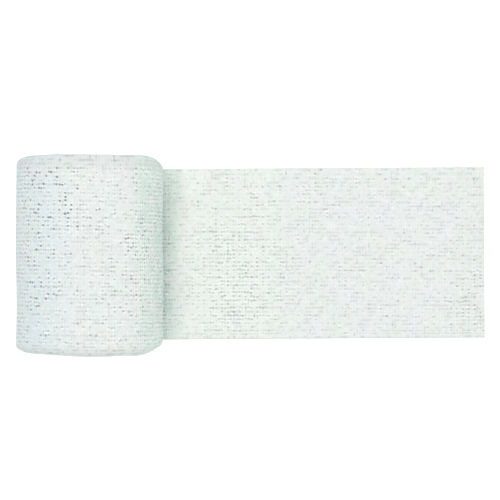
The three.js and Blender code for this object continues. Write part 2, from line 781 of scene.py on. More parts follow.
@dataclass(frozen=True)
class Weave:
    """The gauze of one stretch of strip: its cells, its threads and the plaster in them.

    The reaches and the shift are shares of a row or a column. The painted edge shade, a grey band painted
    along the edges where the roll's rounded shoulders turn from the light, is in millimetres, and its lean
    is how much wider it gets in a millimetre of Y.
    """

    rows: int
    columns: int
    seed: int
    freedom: Freedom
    openness: Openness
    relief: Relief = Relief()
    sway: Sway = Sway()
    row_reach: float = 0.38
    column_reach: float = 0.40
    pair_shift: float = 0.03
    # Painted shade: how wide the grey band along the rounded edges is
    painted_edge_shade: float = 0.0
    grey_lean: float = 0.0
    grey_where: Rise = Rise(1.15, 0.75)
    narrow: float = 0.0


@dataclass
class Line:
    """The fields that say where a line of points runs in its row or column of openings.

    The step is -1, 0 or 1 from the middle. Inside is 1 in the middle, and rim is 1 beside it.
    """

    number: Field
    step: Field
    share: Field
    place: Field
    inside: Field
    rim: Field


@dataclass
class FacePoint:
    """The fields that say where a point of the outer face is: its lines, its row and its place in mm."""

    along: Line
    up: Line
    row: Field
    x: Field
    y: Field


@dataclass
class GauzeSheet:
    """A stretch of strip with the relief of its gauze on the outer face, closed on all sides.

    Each row and column of openings has three lines of points, one through its middle and one on either
    rim. The plain inner face has a few points across the width.
    """

    name: str
    strip: Strip
    weave: Weave
    length: float
    under_points: int
    under_inset: float = 0.25
    edge_depth: float = 0.45
    lines: int = 3
    plan: ShapePlan = field(init=False)
    seed: Field = field(init=False)

    def __post_init__(self) -> None:
        """Starts the tree, with the seed as its first input."""
        self.plan = ShapePlan(self.name)
        self.seed = self.plan.count("Seed", self.weave.seed)

    @property
    def outer_points(self) -> int:
        """How many points the outer face has across the width."""
        return self.weave.rows * self.lines + 2

    def draw(self, what: Draw, key: Number, low: float = 0.0, high: float = 1.0) -> Field:
        """Draws a random number between low and high for the cell or the corner with this number."""
        return self.plan.chance(key, self.seed + what.value, low, high)

    def line(self, count: Field, reach: float) -> Line:
        """Finds the row or column of openings that a line of points belongs to.

        Args:
            count: The number of the line, from 0.
            reach: How far the rims lie from the middle, as a share of the row or column.

        Returns:
            The line.
        """
        plan = self.plan
        number = plan.whole((count + NUDGE) / self.lines)
        step = count - number * self.lines - 1.0
        inside = plan.below(abs(step), 0.5)
        share = (0.5 + step * reach) * plan.below(0.5, count)
        return Line(number, step, share, number + share, inside, 1.0 - inside)

    def column_line(self, count: Field) -> Line:
        """Finds a line that runs across the strip. The columns stand in pairs.

        Args:
            count: The number of the line, from 0.

        Returns:
            The line.
        """
        line = self.line(count, self.weave.column_reach)
        line.share = line.share + (1.0 - 2.0 * self.odd(line.number)) * self.weave.pair_shift
        return line

    def odd(self, number: Field) -> Field:
        """Gives 1 for an odd number and 0 for an even one."""
        return self.plan.math("FLOORED_MODULO", number, 2.0)

    def near(self, patch: Patch, x: Field, y: Field) -> Field:
        """Works out how near to the middle of a patch a place on the strip is.

        Args:
            patch: The patch.
            x: The place along the strip, in millimetres.
            y: The place across it.

        Returns:
            A number from 0 to 1, which is 1 in the middle.
        """
        aside = (x - patch.along) / patch.half_along
        up = (y - patch.across) / patch.half_across
        away = self.plan.math("SQRT", aside * aside + up * up)
        return self.plan.ease(1.0 - away * self.weave.freedom.patch_slope)

    def density(self, x: Field, y: Field) -> Field:
        """Works out how much of the gauze is free of plaster at a place on the strip.

        Args:
            x: The place along the strip, in millimetres.
            y: The place across it.

        Returns:
            A number from 0 to 1.
        """
        plan, freedom = self.plan, self.weave.freedom
        total = freedom.share + plan.drift(freedom.drift, x, y, self.weave.seed) * freedom.drift_gain
        for patch in freedom.patches:
            total = self.near(patch, x, y) * patch.gain + total
        low, high = (freedom.filled_edge * share for share in freedom.edge_range)
        edge = plan.ramp(self.strip.width / 2 - abs(y), low, high)
        return plan.math("MULTIPLY", total, edge, clamp=True)

    def crowd(self, x: Field, y: Field) -> Number:
        """Works out how crowded the openings are at a place on the strip.

        Args:
            x: The place along the strip, in millimetres.
            y: The place across it.

        Returns:
            A number from 0 to 1.
        """
        total = 0.0
        for patch in self.weave.freedom.patches:
            if patch.crowd:
                total = self.near(patch, x, y) * patch.crowd + total
        return total

    def openings(self) -> tuple[bpy.types.NodeSocket, Field]:
        """Decides for each cell how far its opening is free of plaster.

        Returns:
            One point for each cell, and the field of how open it is, from 0 to 1.
        """
        plan, weave, freedom = self.plan, self.weave, self.weave.freedom
        links = {"Vertices X": weave.columns, "Vertices Y": weave.rows}
        grid = plan.node("GeometryNodeMeshGrid", links).outputs[0]
        number = plan.index()
        column = plan.whole((number + NUDGE) / weave.rows)
        row = number - column * weave.rows
        x = (column + 0.5) * (self.length / weave.columns)
        y = (row + 0.5) * (self.strip.width / weave.rows) - self.strip.width / 2
        run = plan.drift(freedom.run, x, row, weave.seed)
        stack = plan.drift(freedom.stack, column, y, weave.seed)
        clump = plan.drift(freedom.clump, x, y, weave.seed)
        density, crowd = self.density(x, y), self.crowd(x, y)

        share = density * freedom.gain + freedom.least + run * freedom.run_gain
        share = share + stack * freedom.stack_gain + clump * freedom.clump_gain
        pair_less = self.odd(column) * freedom.pair_less
        share = share - pair_less * (1.0 - crowd * freedom.pair_less_crowded) + crowd * freedom.crowd_gain
        share = share - self.odd(row) * freedom.row_less
        free = plan.below(self.draw(Draw.FREE, number), share)
        faint = self.faint(number, column, run + clump)
        return grid, plan.blend(free, faint, self.opened(number, density, crowd))

    def opened(self, number: Field, density: Field, crowd: Number) -> Field:
        """Works out how open a cell is where it is free of plaster.

        Args:
            number: The cell's number.
            density: How much of the gauze is free there.
            crowd: How crowded the openings are there.

        Returns:
            How open it is, from 0 to 1.
        """
        plan, openness = self.plan, self.weave.openness
        drawn = self.draw(Draw.OPEN, number)
        total = plan.blend(density, openness.few, openness.many)
        total = total * (openness.least + drawn * openness.spread)
        wide = plan.below(openness.wide_above, drawn) * plan.rise(density, openness.wide_where)
        wide = wide * (1.0 - crowd) * openness.wide_extra
        return (total + wide) * (1.0 + crowd * openness.crowd_gain)

    def faint(self, number: Field, column: Field, drift: Field) -> Field:
        """Works out how open a cell looks where plaster fills it.

        Args:
            number: The cell's number.
            column: Its column.
            drift: How much freer the cells around it are than elsewhere.

        Returns:
            How open it looks, from 0 to 1.
        """
        plan, openness = self.plan, self.weave.openness
        drawn = self.draw(Draw.FAINT, number)
        total = drawn * drawn * plan.rise(drift, openness.faint_where)
        return total * (1.0 - self.odd(column) * openness.faint_pair_less) * openness.faint

    def opening_at(self, cells: tuple[bpy.types.NodeSocket, Field], column: Field, row: Field) -> Field:
        """Reads how open a cell is.

        Args:
            cells: The points of the cells and the field of how open they are.
            column: The cell's column.
            row: The cell's row.

        Returns:
            How open it is, from 0 to 1.
        """
        plan, weave = self.plan, self.weave
        kept = plan.least(plan.most(column, 0.0), weave.columns - 1.0)
        number = kept * weave.rows + row
        links = {"Geometry": cells[0], "Value": cells[1], "Index": number}
        made = plan.node("GeometryNodeSampleIndex", links, data_type="FLOAT", domain="POINT", clamp=True)
        return Field(plan, made.outputs[0])

    def grooves(self, at: FacePoint) -> tuple[Field, Field]:
        """Works out where the face sinks between the threads and where plaster lies along them.

        Args:
            at: The point.

        Returns:
            How far the point lies in a groove, and how far on a streak of plaster.
        """
        plan, relief, seed = self.plan, self.weave.relief, self.weave.seed
        dashes = plan.cloud(relief.dashes, at.x, at.row, seed)
        lines = plan.cloud(relief.lines, at.along.number, at.y, seed)
        reach = relief.groove_rim_share + at.along.inside * (1.0 - relief.groove_rim_share)
        groove = plan.rise(dashes, relief.dash_groove) * at.up.inside * reach
        groove = plan.most(groove, plan.rise(lines, relief.line_groove) * at.along.inside)
        filled = 1.0 - self.density(at.x, at.y) * relief.groove_less
        groove = groove * (1.0 - self.crowd(at.x, at.y)) * filled
        # painted shadow lines, carried as grooves
        for place in relief.painted_shadow_lines:
            groove = plan.most(groove, plan.rise(abs(at.x - place), relief.painted_shadow_line))
        streak = plan.rise(lines, relief.line_streak) * at.along.rim
        return groove, plan.most(streak, plan.rise(dashes, relief.dash_streak) * at.up.rim)

    def crumb(self, at: FacePoint) -> Field:
        """Decides whether a crumb of plaster lies on a crossing of the threads.

        Args:
            at: The point.

        Returns:
            1 where it does, and 0 elsewhere.
        """
        plan, weave = self.plan, self.weave
        late, high = plan.below(0.0, at.along.step), plan.below(0.0, at.up.step)
        corner = ((at.along.number * 2.0 + late) * weave.rows + at.row) * 2.0 + high
        return plan.below(self.draw(Draw.CRUMB, corner), weave.relief.crumb_share) * at.along.rim * at.up.rim

    def relief(self, at: FacePoint) -> tuple[Field, Field, Field, Field]:
        """Works out the relief of the outer face.

        Args:
            at: The point.

        Returns:
            How deep the face lies below its highest threads, how open the cell is, how far the point
            lies in a groove and how much loose plaster is on it.
        """
        plan, relief, along, up = self.plan, self.weave.relief, at.along, at.up
        here = self.opening_at(self.openings(), along.number, at.row)
        free = here * (along.inside + along.rim * relief.rim_share) * (up.inside + up.rim * relief.rim_share)
        groove, streak = self.grooves(at)
        crumb = self.crumb(at)
        over = 1.0 - 2.0 * self.odd(at.row + along.number)
        threads_up = over * along.rim * up.rim * relief.thread_rise
        ring = plan.least(here, 1.0) * (1.0 - along.inside * up.inside)
        plaster = ring * relief.ring_plaster + streak * relief.streak_plaster
        plaster = plan.math("ADD", plaster, crumb * (relief.crumb_plaster + here), clamp=True)

        skin = plan.drift(relief.skin_cloud, at.x, at.y) * relief.skin_wave
        depth = relief.skin + plan.least(free, 1.0) * relief.opening_depth + groove * relief.groove_depth
        depth = depth + skin - threads_up - ring * relief.ring_rise - crumb * relief.crumb_rise
        return plan.most(depth, 0.0), here, groove * relief.groove_shade, plaster

    def aside(self, x: Field, y: Field) -> Field:
        """Works out how far a point of the outer face lies aside of its even place.

        Args:
            x: The place along the strip, in millimetres.
            y: The place across it.

        Returns:
            How far it lies aside across the strip, in millimetres.
        """
        plan, sway = self.plan, self.weave.sway
        inset = self.strip.width / 2 - abs(y)
        wander = plan.drift(sway.across_cloud, x, y) * sway.across
        spread = x / self.length - sway.bow_centre
        spread = plan.least(spread * spread * sway.bow, sway.bow_limit)
        total = y * spread * plan.ease(inset / sway.bow_fade)
        total = total + wander * plan.least(inset / sway.even_edge, 1.0)
        for slip in sway.slips:
            fade = plan.ease(inset / sway.slip_fade)
            total = plan.ramp(x, slip.start, slip.stop) * fade * slip.aside + total
        return total

    def moved(self, at: FacePoint) -> tuple[Field, Field]:
        """Works out how far a point of the outer face is moved from its even place.

        Args:
            at: The point.

        Returns:
            How far it is moved along the strip and across it, in millimetres.
        """
        plan, rows, sway = self.plan, self.weave.rows, self.weave.sway
        cell = at.along.number * rows + at.up.number
        bent = plan.drift(sway.along_cloud, at.x, at.y) * sway.along
        inner = plan.ramp(at.x, 0.0, sway.even_end) * plan.ramp(self.length - at.x, 0.0, sway.even_end)
        moved_along = (self.draw(Draw.ALONG, cell, -sway.jitter, sway.jitter) + bent) * inner
        stretch = self.draw(Draw.STRETCH, cell, -sway.size_up, sway.size_up)
        jitter = self.draw(Draw.ACROSS, cell, -sway.jitter_up, sway.jitter_up)
        jitter = jitter + (at.up.share - 0.5) * stretch * (self.strip.width / rows)
        inset = plan.least(self.strip.width / 2 - abs(at.y), sway.even_edge) / sway.even_edge
        return moved_along, self.aside(at.x, at.y) + jitter * inset

    def across(self, point: Field, up: Line) -> tuple[Field, Field, Field]:
        """Works out where in the strip's section a point lies.

        Args:
            point: The point's number round the section.
            up: The line along the strip that it is on.

        Returns:
            How far across the strip it lies, from 0 to 1, and two numbers that are 1 on the outer face
            and on the two edges of that face.
        """
        plan = self.plan
        top = plan.below(point, self.outer_points - 0.5)
        first = plan.below(point, 0.5)
        last = plan.below(self.outer_points - 1.5, point)
        outer = plan.least((up.number + up.share) / self.weave.rows, 1.0)
        outer = plan.blend(last, outer * (1.0 - first), 1.0)
        steps = self.under_points - 1.0 + 2.0 * self.under_inset
        under = 1.0 - (point - self.outer_points + self.under_inset) / steps
        return plan.blend(top, under, outer), top, plan.most(first, last)

    def build(self, path: Union[Winding, Laying], material: bpy.types.Material) -> bpy.types.Object:
        """Makes the piece.

        Args:
            path: The path that it is laid on, which is the winding or the floor.
            material: Its finish.

        Returns:
            The piece, as one closed mesh.
        """
        plan, weave = self.plan, self.weave
        width = plan.size("Width", self.strip.width)
        length = plan.size("Length", self.length)
        thickness = plan.size("Thickness", self.strip.thickness)
        stations = plan.count("Stations", weave.columns * self.lines + 1)
        ring = plan.count("Points round the strip", self.outer_points + self.under_points)
        mesh, station, point = strip_net(plan, stations, ring)

        along = self.column_line(station)
        up = self.line(plan.most(point - 1.0, 0.0), weave.row_reach)
        row = plan.least(plan.most(up.number, 0.0), weave.rows - 1.0)
        across, top, edge = self.across(point, up)
        x = plan.least((along.number + along.share) / weave.columns, 1.0) * length
        y = (across - 0.5) * width
        at = FacePoint(along, up, row, x, y)
        moved_along, moved_across = self.moved(at)
        depth, here, groove, plaster = self.relief(at)
        depth = plan.blend(edge, depth, thickness * self.edge_depth)
        depth = plan.blend(top, thickness, depth)
        placed = self.placed(path, x + moved_along * top, y, moved_across * top, depth, thickness)

        shown = top * (1.0 - edge)
        stored = {"opening": here * shown, "groove": groove * shown, "plaster": plaster * shown}
        # Painted shade: a grey band along the outer turn's rounded edges
        if weave.painted_edge_shade:
            from_edge = (width / 2 - abs(y)) / (weave.painted_edge_shade + y * weave.grey_lean)
            stored["painted_edge_shade"] = plan.rise(from_edge, weave.grey_where) * top
        stored["cloth_place"] = plan.place(x * MM, y * MM, depth * MM)
        stored["narrow"] = plan.math("ADD", self.crowd(x, y), weave.narrow, clamp=True)
        stored["cell_place"] = plan.place(along.place, up.place, weave.seed)
        plan.finish(mesh, placed, stored, material)
        return plan.make(self.name)

    def placed(
        self, path: Union[Winding, Laying], x: Field, y: Field, aside: Field, depth: Field, thickness: Field
    ) -> bpy.types.NodeSocket:
        """Lays a point of the strip on its path.

        Args:
            path: The winding or the floor.
            x: The point's place along the strip, in millimetres.
            y: Its even place across it.
            aside: How far it lies aside of that place.
            depth: How far it is inside the outer face.
            thickness: How thick the strip is.

        Returns:
            The place, in metres.
        """
        if isinstance(path, Winding):
            return path.lay(self.plan, x * (FULL_TURN / self.length), y, aside, depth)
        return path.lay(self.plan, x + path.start, y + aside, thickness - depth)


def strip_net(plan: ShapePlan, stations: Field, ring: Field) -> tuple[bpy.types.NodeSocket, Field, Field]:
    """Makes the net of a closed strip, which later nodes lay out.

    Args:
        plan: The tree.
        stations: How many sections it has along its length.
        ring: How many points each section has.

    Returns:
        The mesh, the number of each point's station and its number round the section.
    """
    line = plan.node("GeometryNodeCurvePrimitiveLine", {"End": (1.0, 0.0, 0.0)}).outputs[0]
    rail = plan.node("GeometryNodeResampleCurve", {"Curve": line, "Count": stations}).outputs[0]
    rail, station = plan.capture(rail, "Station", plan.index())
    section = plan.node("GeometryNodeCurvePrimitiveCircle", {"Resolution": ring, "Radius": 1.0}).outputs[0]
    section, point = plan.capture(section, "Point", plan.index())
    links = {"Curve": rail, "Profile Curve": section, "Fill Caps": True}
    return plan.node("GeometryNodeCurveToMesh", links).outputs[0], station, point


@dataclass(frozen=True)
class Dish:
    """A slow wave of the end faces from the centre out: how often, where it starts and how deep."""

    per_millimetre: float
    phase: float
    depth: float


@dataclass
class WoundTurns:
    """The turns inside the outer one, as one strip whose edges show on both end faces.

    Sizes are in millimetres. The points on each side of the strip lie closer together towards its edges.
    """

    strip: Strip
    winding: Winding
    name: str = "wound_turns"
    stations: int = 3200
    side_points: int = 10
    seed: int = 31
    thickness: float = 0.74
    edge_thickness: float = 0.58
    edge_steps: float = 2.6
    middle_inset: float = 25.0
    inset_power: float = 2.5
    ends_share: float = 0.55
    loose_wave: float = 0.24
    loose_period: float = 9.3
    gap_turns: float = 0.5
    dishes: tuple[Dish, ...] = (Dish(0.21, 0.8, 0.38), Dish(0.083, 1.0, 0.30))
    turn_wave: float = 0.9
    turn_cloud: Cloud = Cloud(0.35, 17.0, 2.0)
    turn_step: float = 0.10
    turn_start: float = 0.3
    grit: float = 0.45
    grit_cloud: Cloud = Cloud(0.9, 5.0, 4.0)
    curl: float = 0.3
    curl_cloud: Cloud = Cloud(0.22, 3.0, 6.0)
    cell_size: tuple[float, float] = (3.0, 2.0)
    plan: ShapePlan = field(init=False)

    def __post_init__(self) -> None:
        """Starts the tree."""
        self.plan = ShapePlan(self.name)

    def shift(self, end: End, turned: Field, level: Field) -> Field:
        """Works out how far a cut edge stands out of the flat end face, turn by turn.

        Args:
            end: The end face.
            turned: How far the strip has turned, in radians.
            level: How far it is from the roll's axis, in millimetres.

        Returns:
            How far it stands out, in millimetres.
        """
        plan, sign = self.plan, end.value
        total = 0.0
        for dish in self.dishes:
            total = plan.sine(level * dish.per_millimetre + dish.phase * sign) * dish.depth + total
        turn = plan.whole(turned / FULL_TURN + self.turn_start)
        each = plan.chance(turn, self.seed + sign, -self.turn_step, self.turn_step)
        wave = plan.drift(self.turn_cloud, turned, sign) * self.turn_wave
        grit = plan.drift(self.grit_cloud, turned * level, sign) * self.grit
        return total + wave + each + grit

    def section(self, point: Field) -> tuple[Field, Field, Field]:
        """Finds a point's place in the section of the strip.

        Args:
            point: Its number round the section.

        Returns:
            1 on the outer face and 0 on the inner one, the side of the middle that it is on, as a sign,
            and how many steps it is from the cut edge.
        """
        plan, last = self.plan, self.side_points - 1.0
        outside = plan.below(point, self.side_points - 0.5)
        order = plan.blend(outside, 2.0 * self.side_points - 1.0 - point, point)
        return outside, plan.math("SIGN", order - last / 2), plan.least(order, last - order)

    def build(self, material: bpy.types.Material) -> bpy.types.Object:
        """Makes the turns.

        Args:
            material: Their finish.

        Returns:
            The piece, as one closed mesh.
        """
        plan, winding = self.plan, self.winding
        stations = plan.count("Stations", self.stations)
        ring = plan.count("Points round the strip", 2 * self.side_points)
        width = plan.size("Width", self.strip.width)
        thickness = plan.size("Thickness", self.thickness)
        cut = plan.size("Thickness at the cut edges", self.edge_thickness)
        mesh, station, point = strip_net(plan, stations, ring)

        share = station / (self.stations - 1.0)
        eased = share * (self.ends_share + (1.0 - self.ends_share) * share)
        turned = FULL_TURN + eased * (winding.last_turned - FULL_TURN)
        level = winding.radius - turned * (winding.pitch / FULL_TURN)
        arc = turned * level
        outside, side, steps_in = self.section(point)
        inward = plan.math("POWER", steps_in / (self.side_points / 2 - 1.0), self.inset_power)
        y = side * (width / 2 - inward * self.middle_inset)
        edge = plan.ease(1.0 - steps_in / self.edge_steps)
        near, far = (self.shift(end, turned, level) for end in (End.NEAR, End.FAR))
        aside = side * plan.blend(plan.below(0.0, side), near, far) * edge

        here = plan.blend(plan.below(steps_in, 0.5), thickness, cut)
        outer_depth = (thickness - here) * 0.5
        depth = plan.blend(outside, outer_depth + here, outer_depth)
        gap = plan.ramp(turned, FULL_TURN, FULL_TURN * (1.0 + self.gap_turns))
        loose = plan.sine((winding.radius - level) * (FULL_TURN / self.loose_period)) * self.loose_wave
        curl = plan.drift(self.curl_cloud, arc, side) * self.curl * edge
        depth = depth + (loose + curl) * gap
        cell_long, cell_wide = self.cell_size
        stored = {
            "cloth_place": plan.place(arc * MM, y * MM, depth * MM),
            "cell_place": plan.place(arc / cell_long, y / cell_wide, depth),
        }
        plan.finish(mesh, winding.lay(plan, turned, y, aside, depth), stored, material)
        return plan.make(self.name)


@dataclass
class Cell:
    """A cell of the weave in a material: a point's place in it, and random numbers drawn for it."""

    place: list[Field]
    chance: list[Field]
    extra: Field


class FinishPlan(Plan):
    """The node tree of a material, with one Principled shader."""

    def __init__(self, name: str) -> None:
        """Starts a material with its shader.

        Args:
            name: The material's name.
        """
        self.material = bpy.data.materials.new(name)
        self.material.use_nodes = True
        super().__init__(self.material.node_tree)
        self.shader = self.tree.nodes["Principled BSDF"]

    def amount(self, name: str) -> Field:
        """Reads a number that a piece has stored on its points, or 0 where it has none."""
        return Field(self, self.node("ShaderNodeAttribute", {}, attribute_name=name).outputs["Fac"])

    def stored_place(self, name: str) -> bpy.types.NodeSocket:
        """Reads a place that a piece has stored on its points."""
        return self.node("ShaderNodeAttribute", {}, attribute_name=name).outputs["Vector"]

    def object_place(self) -> bpy.types.NodeSocket:
        """Gives the place on the piece, in metres."""
        return self.node("ShaderNodeTexCoord", {}).outputs["Object"]

    def parts(self, vector: Link) -> list[Field]:
        """Splits a place or a colour into its three numbers."""
        split = self.node("ShaderNodeSeparateXYZ", {"Vector": vector})
        return [Field(self, socket) for socket in split.outputs]

    def vector(self, operation: str, *vectors: Link) -> bpy.types.NodeSocket:
        """Does arithmetic on one, two or three vectors."""
        return self.node("ShaderNodeVectorMath", dict(enumerate(vectors)), operation=operation).outputs[0]

    def drawn(self, vector: Link) -> bpy.types.Node:
        """Draws random numbers that are the same wherever the vector is the same."""
        return self.node("ShaderNodeTexWhiteNoise", {"Vector": vector}, noise_dimensions="3D")

    def cell(self, place: Link) -> Cell:
        """Finds the cell that a point is in.

        Args:
            place: The point's place, in cells.

        Returns:
            The cell.
        """
        drawn = self.drawn(self.vector("FLOOR", place))
        within = self.parts(self.vector("FRACTION", place))
        return Cell(within, self.parts(drawn.outputs["Color"]), Field(self, drawn.outputs["Value"]))

    def mix(self, share: Link, start: Link, stop: Link) -> bpy.types.NodeSocket:
        """Goes from one colour to another.

        Args:
            share: How far it goes, from 0 to 1.
            start: The colour at 0.
            stop: The colour at 1.

        Returns:
            The colour.
        """
        made = self.node("ShaderNodeMix", {}, data_type="RGBA")
        for key, value in (("Factor", share), ("A", start), ("B", stop)):
            self.feed(self.inlet(made, key), value)
        return next(socket for socket in made.outputs if socket.enabled)

    def run(self, share: Field, stops: Sequence[tuple[float, Colour]]) -> bpy.types.NodeSocket:
        """Runs softly through a row of colours.

        Args:
            share: How far along the row it is, from 0 to 1.
            stops: The place of each colour in the row, and the colour.

        Returns:
            The colour.
        """
        ramp = self.node("ShaderNodeValToRGB", {"Fac": share})
        ramp.color_ramp.interpolation = "EASE"
        for place, _ in stops[1:-1]:
            ramp.color_ramp.elements.new(place)
        for element, (_, colour) in zip(ramp.color_ramp.elements, stops):
            element.color = solid(colour)
        return ramp.outputs["Color"]

    def bump(self, height: Link, strength: float, distance: float) -> bpy.types.NodeSocket:
        """Turns a height into a tilt of the surface."""
        links = {"Height": height, "Strength": strength, "Distance": distance}
        return self.node("ShaderNodeBump", links).outputs[0]

    def dress(self, values: Mapping[str, Link]) -> bpy.types.Material:
        """Gives inputs of the shader their values.

        Args:
            values: The value for each input, by its name.

        Returns:
            The material.
        """
        for name, value in values.items():
            self.feed(self.shader.inputs[name], value)
        return self.material


def solid(colour: Colour) -> tuple[float, float, float, float]:
    """Gives a colour its full alpha."""
    return (*colour, 1.0)


@dataclass(frozen=True)
class Cast:
    """The cast of white at one place along X, in millimetres."""

    at: float
    tint: Tint


@dataclass(frozen=True)
class Tinge:
    """Small patches of another tint, where some noise rises. They differ near the roll and beyond it."""

    tint: Tint
    where: Rise
    beyond: float
    near: float


@dataclass(frozen=True)
class PlasterFinish:
    """Powdery plaster on cotton gauze, whiter where it lies thick, with painted shade in the openings and
    grooves and along the roll's rounded edges.

    Places along X are in millimetres. The reaches and the wanders are shares of a cell, along it and up it.
    """

    name: str = "plaster_on_gauze"
    chalk: Colour = (0.93, 0.935, 0.93)
    # Painted shade: the dark colour of the openings stands in for the shade deep in the holes between the
    # threads
    opening: Colour = (0.31, 0.325, 0.32)
    # Painted shade: the grey of the roll's rounded edges
    edge_shade_colour: Colour = (0.60, 0.59, 0.585)
    opening_gain: float = 1.25
    opening_shown: Rise = Rise(0.0, 0.2)
    opening_reach: tuple[float, float] = (0.56, 0.30)
    narrow_reach: tuple[float, float] = (0.36, 0.33)
    opening_spread: float = 0.40
    opening_wander: tuple[float, float] = (0.26, 0.34)
    spot_flank: float = 2.2
    crumb_share: float = 0.45
    crumb_reach: tuple[float, float] = (0.28, 0.22)
    crumb_wander: tuple[float, float] = (0.56, 0.56)
    crumb_least: float = 0.25
    crumb_gain: float = 1.8
    crumb_most: float = 0.85
    roughness: tuple[float, float] = (0.82, 0.97)
    specular: float = 0.22
    blotch: Noise = Noise(210.0, 3.0, 0.6)
    speck: Noise = Noise(800.0, 2.0, 0.7)
    grain: Noise = Noise(2600.0, 3.0, 0.65)
    twist: Noise = Noise(5200.0, 2.0, 0.6)
    block_noise: Noise = Noise(1.3)
    block_wander: tuple[float, float, float] = (0.7, 0.7, 0.0)
    blocks: tuple[float, float, float] = (2.0, 2.0, 1.0)
    white_blotch: Rise = Rise(0.35, 0.7, 0.10)
    white_speck: Rise = Rise(0.52, 0.75, 0.18)
    white_block: Rise = Rise(0.55, 1.0, 0.10)
    white_plaster: float = 0.7
    white_crumb: float = 0.9
    grey_speck: Rise = Rise(0.47, 0.25, 0.06)
    grey_block: Rise = Rise(0.5, 0.0, 0.04)
    # Painted shade: how much the grooves between the threads are darkened
    painted_groove_shade: float = 0.30
    # how strong the painted shade along the roll's rounded edges is
    painted_edge_shade: float = 0.26
    bump_shares: tuple[float, float, float, float] = (0.6, 0.2, 0.4, 0.3)
    bump_strength: float = 0.4
    bump_distance: float = 0.3
    cast_noise: Noise = Noise(30.0, 2.0)
    cast_drift: float = 14.0
    roll_end: Rise = Rise(112.0, 80.0)
    roll_top: float = 0.25
    roll_sides: Rise = Rise(12.0, 30.0)
    past_roll: Rise = Rise(40.0, 50.0, 0.45)
    far_side: Rise = Rise(-10.0, -22.0, 0.4)
    patch_noise: Noise = Noise(62.0, 3.0, 0.6)
    patches: tuple[Tinge, ...] = (
        Tinge(Tint.LILAC, Rise(0.52, 0.62), 0.42, 0.24),
        Tinge(Tint.OLIVE, Rise(0.47, 0.37), 0.52, 0.28),
    )
    spot_noise: Noise = Noise(85.0, 2.0)
    spots: tuple[Tinge, ...] = (
        Tinge(Tint.LEAF, Rise(0.53, 0.65), 0.22, 0.65),
        Tinge(Tint.PINK, Rise(0.46, 0.36), 0.10, 0.55),
    )
    casts: tuple[Cast, ...] = (
        Cast(-38.0, Tint.BLUE),
        Cast(-20.0, Tint.BLUE),
        Cast(2.0, Tint.NEUTRAL),
        Cast(24.0, Tint.NEUTRAL),
        # painted shade, green-tinted, on the roll's right flank and the start of the loose end
        Cast(36.0, Tint.PAINTED_SHADE_GREEN),
        # painted light on the loose end next to the roll
        Cast(47.4, Tint.PAINTED_LIGHT_PALE),
        Cast(66.0, Tint.YELLOWISH),
        Cast(92.0, Tint.YELLOWISH),
        Cast(115.0, Tint.CLEAN),
        Cast(190.0, Tint.CLEAN),
        Cast(222.0, Tint.WARM),
    )

    def cast(self, plan: FinishPlan, place: bpy.types.NodeSocket) -> bpy.types.NodeSocket:
        """Runs softly through the casts of white along X, with painted shade on the roll's right flank and
        painted light just beyond it, and small patches of other tints.

        Args:
            plan: The material's tree.
            place: The place on the piece.

        Returns:
            The colour of the plain plaster, with that painted shade and light.
        """
        first, last = self.casts[0].at, self.casts[-1].at
        drift = plan.noise(place, self.cast_noise) - 0.5
        x = plan.parts(place)[0] / MM
        share = (x + drift * self.cast_drift - first) / (last - first)
        stops = [((cast.at - first) / (last - first), cast.tint.value) for cast in self.casts]
        colour = plan.run(share, stops)

        near = plan.rise(x, self.roll_end)
        sides = plan.blend(plan.rise(abs(x), self.roll_sides), self.roll_top, 1.0)
        sides = sides * (1.0 - plan.rise(x, self.past_roll))
        sides = sides * (1.0 + plan.rise(x, self.far_side))
        kinds = ((self.patch_noise, self.patches, near), (self.spot_noise, self.spots, near * sides))
        for noise, tinges, close in kinds:
            level = plan.noise(place, noise)
            for tinge in tinges:
                share = plan.rise(level, tinge.where) * plan.blend(close, tinge.beyond, tinge.near)
                colour = plan.mix(share, colour, solid(tinge.tint.value))
        return colour

    def block(self, plan: FinishPlan, place: bpy.types.NodeSocket) -> Field:
        """Gives each crossing and each stretch of thread between crossings its own random shade.

        Args:
            plan: The material's tree.
            place: The place on the piece, in cells.

        Returns:
            The shade, from 0 to 1.
        """
        links = {"Vector": place, "Scale": self.block_noise.scale, "Detail": self.block_noise.detail}
        shift = plan.node("ShaderNodeTexNoise", links).outputs["Color"]
        moved = plan.vector("MULTIPLY_ADD", shift, self.block_wander, place)
        number = plan.vector("FLOOR", plan.vector("MULTIPLY", moved, self.blocks))
        return Field(plan, plan.drawn(number).outputs["Value"])

    def spot(
        self,
        plan: FinishPlan,
        cell: Cell,
        strength: Field,
        wander: Sequence[float],
        reaches: Sequence[Number],
    ) -> Field:
        """Places a soft round spot near the middle of a cell.

        Args:
            plan: The material's tree.
            cell: The cell.
            strength: How strong the spot is.
            wander: How far its middle strays along the cell and up it.
            reaches: How far it reaches from there.

        Returns:
            How far a point lies in it, from 0 at its rim up to its strength.
        """
        total = strength
        for axis, reach in enumerate(reaches):
            away = abs(cell.place[axis] - 0.5 - (cell.chance[axis] - 0.5) * wander[axis]) / reach
            total = total * plan.ease((1.0 - away) * self.spot_flank)
        return total

    def opening_here(self, plan: FinishPlan, place: bpy.types.NodeSocket) -> Field:
        """Works out how far a point lies in the opening of its cell, which is round and has soft rims, for
        the painted shade in the hole.

        Args:
            plan: The material's tree.
            place: The place on the piece, in cells.

        Returns:
            A number from 0, where it lies outside.
        """
        cell = plan.cell(place)
        wide = 1.0 + (cell.chance[2] - 0.5) * self.opening_spread
        total, narrow = plan.amount("opening"), plan.amount("narrow")
        reaches = [wide * plan.blend(narrow, *pair) for pair in zip(self.opening_reach, self.narrow_reach)]
        return self.spot(plan, cell, total, self.opening_wander, reaches)

